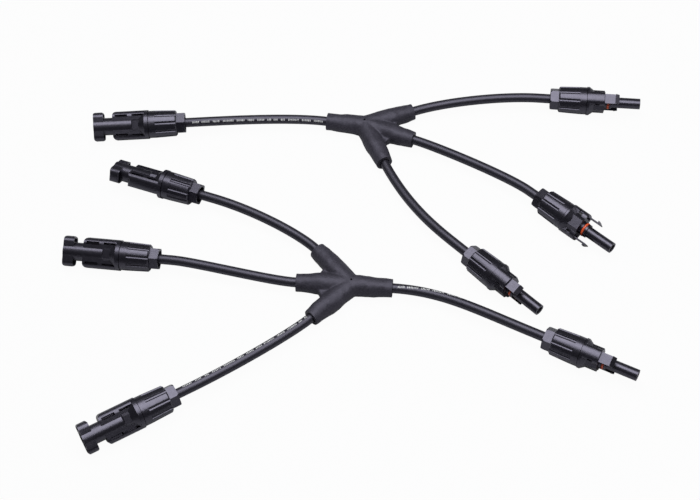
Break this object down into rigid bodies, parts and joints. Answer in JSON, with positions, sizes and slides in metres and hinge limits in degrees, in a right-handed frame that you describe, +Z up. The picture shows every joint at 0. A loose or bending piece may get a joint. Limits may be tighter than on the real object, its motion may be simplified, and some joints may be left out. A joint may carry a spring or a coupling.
{
  "type": "solar cable connector",
  "caption": "Solar branch cable set: latching socket and plug connectors with screw-on gland nuts on round cables that run into Y-shaped branch mouldings.",
  "frame": {"origin": "centre of the box round the connectors and mouldings, on the plane that both cables lie on", "axes": "+X from the socket side to the plug side, +Y from the front cable to the back cable, +Z up"},
  "size_m": [0.3798, 0.2656, 0.0193],
  "materials": {
    "shell": "satin-gloss moulded black",
    "nut": "satin-gloss moulded black",
    "jacket": "satin black jacket",
    "moulding": "matte dark grey overmould",
    "contact": "tin plated",
    "clamp": "matte",
    "seal": "matte",
    "o_ring": "satin orange-red"
  },
  "bodies": {
    "front_assembly": {"front_moulding": "moulding", "front_splice": "contact", "front_cable_1": "jacket", "front_cable_2": "jacket", "front_cable_3": "jacket", "front_cable_4": "jacket", "front_socket_shell_1": "shell", "front_socket_shell_2": "shell", "front_socket_shell_3": "shell", "front_plug_shell": "shell", "front_pin_1": "contact", "front_pin_2": "contact", "front_pin_3": "contact", "front_sleeve": "contact", "front_o_ring": "o_ring", "front_gland_seals": "seal"},
    "back_assembly": {"back_moulding": "moulding", "back_splice": "contact", "back_cable_1": "jacket", "back_cable_2": "jacket", "back_cable_3": "jacket", "back_cable_4": "jacket", "back_plug_shell_1": "shell", "back_plug_shell_2": "shell", "back_plug_shell_3": "shell", "back_socket_shell": "shell", "back_sleeve_1": "contact", "back_sleeve_2": "contact", "back_sleeve_3": "contact", "back_pin": "contact", "back_o_ring_1": "o_ring", "back_o_ring_2": "o_ring", "back_o_ring_3": "o_ring", "back_gland_seals": "seal"},
    "front_clamp_1": {"front_cage_1": "clamp"},
    "front_gland_nut_1": {"front_nut_1": "nut"},
    "front_clamp_2": {"front_cage_2": "clamp"},
    "front_gland_nut_2": {"front_nut_2": "nut"},
    "front_clamp_3": {"front_cage_3": "clamp"},
    "front_gland_nut_3": {"front_nut_3": "nut"},
    "front_clamp_4": {"front_cage_4": "clamp"},
    "front_gland_nut_4": {"front_nut_4": "nut"},
    "back_clamp_1": {"back_cage_1": "clamp"},
    "back_gland_nut_1": {"back_nut_1": "nut"},
    "back_clamp_2": {"back_cage_2": "clamp"},
    "back_gland_nut_2": {"back_nut_2": "nut"},
    "back_clamp_3": {"back_cage_3": "clamp"},
    "back_gland_nut_3": {"back_nut_3": "nut"},
    "back_clamp_4": {"back_cage_4": "clamp"},
    "back_gland_nut_4": {"back_nut_4": "nut"},
    "front_latch_a_arm": {"front_latch_a": "shell"},
    "front_latch_b_arm": {"front_latch_b": "shell"},
    "back_latch_1a_arm": {"back_latch_1a": "shell"},
    "back_latch_1b_arm": {"back_latch_1b": "shell"},
    "back_latch_2a_arm": {"back_latch_2a": "shell"},
    "back_latch_2b_arm": {"back_latch_2b": "shell"},
    "back_latch_3a_arm": {"back_latch_3a": "shell"},
    "back_latch_3b_arm": {"back_latch_3b": "shell"}
  },
  "joints": [
    {"name": "back_lift", "type": "slide", "parent": "front_assembly", "child": "back_assembly", "axis": [0, 0, 1], "range_m": [0, 0.1]},
    {"name": "front_clamp_1_slide", "type": "slide", "parent": "front_assembly", "child": "front_clamp_1", "axis": [0.9239, -0.3827, 0], "range_m": [0, 0.0075]},
    {"name": "front_nut_1_turn", "type": "hinge", "parent": "front_clamp_1", "child": "front_gland_nut_1", "pos_m": [-0.11626, 0.05967, 0.00965], "axis": [0.9239, -0.3827, 0], "range_deg": [0, 1800]},
    {"name": "front_clamp_2_slide", "type": "slide", "parent": "front_assembly", "child": "front_clamp_2", "axis": [0.9877, -0.1564, 0], "range_m": [0, 0.0075]},
    {"name": "front_nut_2_turn", "type": "hinge", "parent": "front_clamp_2", "child": "front_gland_nut_2", "pos_m": [-0.14162, 0.00594, 0.00965], "axis": [0.9877, -0.1564, 0], "range_deg": [0, 1800]},
    {"name": "front_clamp_3_slide", "type": "slide", "parent": "front_assembly", "child": "front_clamp_3", "axis": [0.8829, 0.4695, 0], "range_m": [0, 0.0075]},
    {"name": "front_nut_3_turn", "type": "hinge", "parent": "front_clamp_3", "child": "front_gland_nut_3", "pos_m": [-0.12617, -0.10281, 0.00965], "axis": [0.8829, 0.4695, 0], "range_deg": [0, 1800]},
    {"name": "front_clamp_4_slide", "type": "slide", "parent": "front_assembly", "child": "front_clamp_4", "axis": [-0.8704, 0.4924, 0], "range_m": [0, 0.0075]},
    {"name": "front_nut_4_turn", "type": "hinge", "parent": "front_clamp_4", "child": "front_gland_nut_4", "pos_m": [0.1201, -0.07298, 0.00965], "axis": [-0.8704, 0.4924, 0], "range_deg": [0, 1800]},
    {"name": "back_clamp_1_slide", "type": "slide", "parent": "back_assembly", "child": "back_clamp_1", "axis": [-0.9914, 0.1305, 0], "range_m": [0, 0.0075]},
    {"name": "back_nut_1_turn", "type": "hinge", "parent": "back_clamp_1", "child": "back_gland_nut_1", "pos_m": [0.14509, 0.12331, 0.00965], "axis": [-0.9914, 0.1305, 0], "range_deg": [0, 1800]},
    {"name": "back_clamp_2_slide", "type": "slide", "parent": "back_assembly", "child": "back_clamp_2", "axis": [-0.7009, 0.7133, 0], "range_m": [0, 0.0075]},
    {"name": "back_nut_2_turn", "type": "hinge", "parent": "back_clamp_2", "child": "back_gland_nut_2", "pos_m": [0.12449, 0.03113, 0.00965], "axis": [-0.7009, 0.7133, 0], "range_deg": [0, 1800]},
    {"name": "back_clamp_3_slide", "type": "slide", "parent": "back_assembly", "child": "back_clamp_3", "axis": [-0.6691, 0.7431, 0], "range_m": [0, 0.0075]},
    {"name": "back_nut_3_turn", "type": "hinge", "parent": "back_clamp_3", "child": "back_gland_nut_3", "pos_m": [0.07591, -0.01227, 0.00965], "axis": [-0.6691, 0.7431, 0], "range_deg": [0, 1800]},
    {"name": "back_clamp_4_slide", "type": "slide", "parent": "back_assembly", "child": "back_clamp_4", "axis": [0.9998, 0.0175, 0], "range_m": [0, 0.0075]},
    {"name": "back_nut_4_turn", "type": "hinge", "parent": "back_clamp_4", "child": "back_gland_nut_4", "pos_m": [-0.129, 0.11617, 0.00965], "axis": [0.9998, 0.0175, 0], "range_deg": [0, 1800]},
    {"name": "front_latch_a_flex", "type": "hinge", "parent": "front_assembly", "child": "front_latch_a_arm", "pos_m": [0.13202, -0.08277, 0.01693], "axis": [0.4627, 0.8179, 0.342], "range_deg": [0, 7], "stiffness_Nm_per_rad": 0.05},
    {"name": "front_latch_b_flex", "type": "hinge", "parent": "front_assembly", "child": "front_latch_b_arm", "pos_m": [0.13463, -0.07815, 0.00237], "axis": [-0.4627, -0.8179, -0.342], "range_deg": [0, 7], "stiffness_Nm_per_rad": 0.05},
    {"name": "back_latch_1a_flex", "type": "hinge", "parent": "back_assembly", "child": "back_latch_1a_arm", "pos_m": [0.15973, 0.11807, 0.01667], "axis": [0.1183, 0.8986, 0.4226], "range_deg": [0, 7], "stiffness_Nm_per_rad": 0.05},
    {"name": "back_latch_1b_flex", "type": "hinge", "parent": "back_assembly", "child": "back_latch_1b_arm", "pos_m": [0.16058, 0.12457, 0.00263], "axis": [-0.1183, -0.8986, -0.4226], "range_deg": [0, 7], "stiffness_Nm_per_rad": 0.05},
    {"name": "back_latch_2a_flex", "type": "hinge", "parent": "back_assembly", "child": "back_latch_2a_arm", "pos_m": [0.13993, 0.025, 0.01353], "axis": [0.3566, 0.3505, -0.866], "range_deg": [0, 7], "stiffness_Nm_per_rad": 0.05},
    {"name": "back_latch_2b_flex", "type": "hinge", "parent": "back_assembly", "child": "back_latch_2b_arm", "pos_m": [0.13036, 0.01559, 0.00577], "axis": [-0.3566, -0.3505, 0.866], "range_deg": [0, 7], "stiffness_Nm_per_rad": 0.05},
    {"name": "back_latch_3a_flex", "type": "hinge", "parent": "back_assembly", "child": "back_latch_3a_arm", "pos_m": [0.0843, -0.02517, 0.01702], "axis": [0.7068, 0.6364, 0.309], "range_deg": [0, 7], "stiffness_Nm_per_rad": 0.05},
    {"name": "back_latch_3b_flex", "type": "hinge", "parent": "back_assembly", "child": "back_latch_3b_arm", "pos_m": [0.08786, -0.02196, 0.00228], "axis": [-0.7068, -0.6364, -0.309], "range_deg": [0, 7], "stiffness_Nm_per_rad": 0.05}
  ],
  "couplings": [
    {"joint": "front_nut_1_turn", "follows": "front_clamp_1_slide", "rad_per_m": 4188.8},
    {"joint": "front_nut_2_turn", "follows": "front_clamp_2_slide", "rad_per_m": 4188.8},
    {"joint": "front_nut_3_turn", "follows": "front_clamp_3_slide", "rad_per_m": 4188.8},
    {"joint": "front_nut_4_turn", "follows": "front_clamp_4_slide", "rad_per_m": 4188.8},
    {"joint": "back_nut_1_turn", "follows": "back_clamp_1_slide", "rad_per_m": 4188.8},
    {"joint": "back_nut_2_turn", "follows": "back_clamp_2_slide", "rad_per_m": 4188.8},
    {"joint": "back_nut_3_turn", "follows": "back_clamp_3_slide", "rad_per_m": 4188.8},
    {"joint": "back_nut_4_turn", "follows": "back_clamp_4_slide", "rad_per_m": 4188.8}
  ]
}
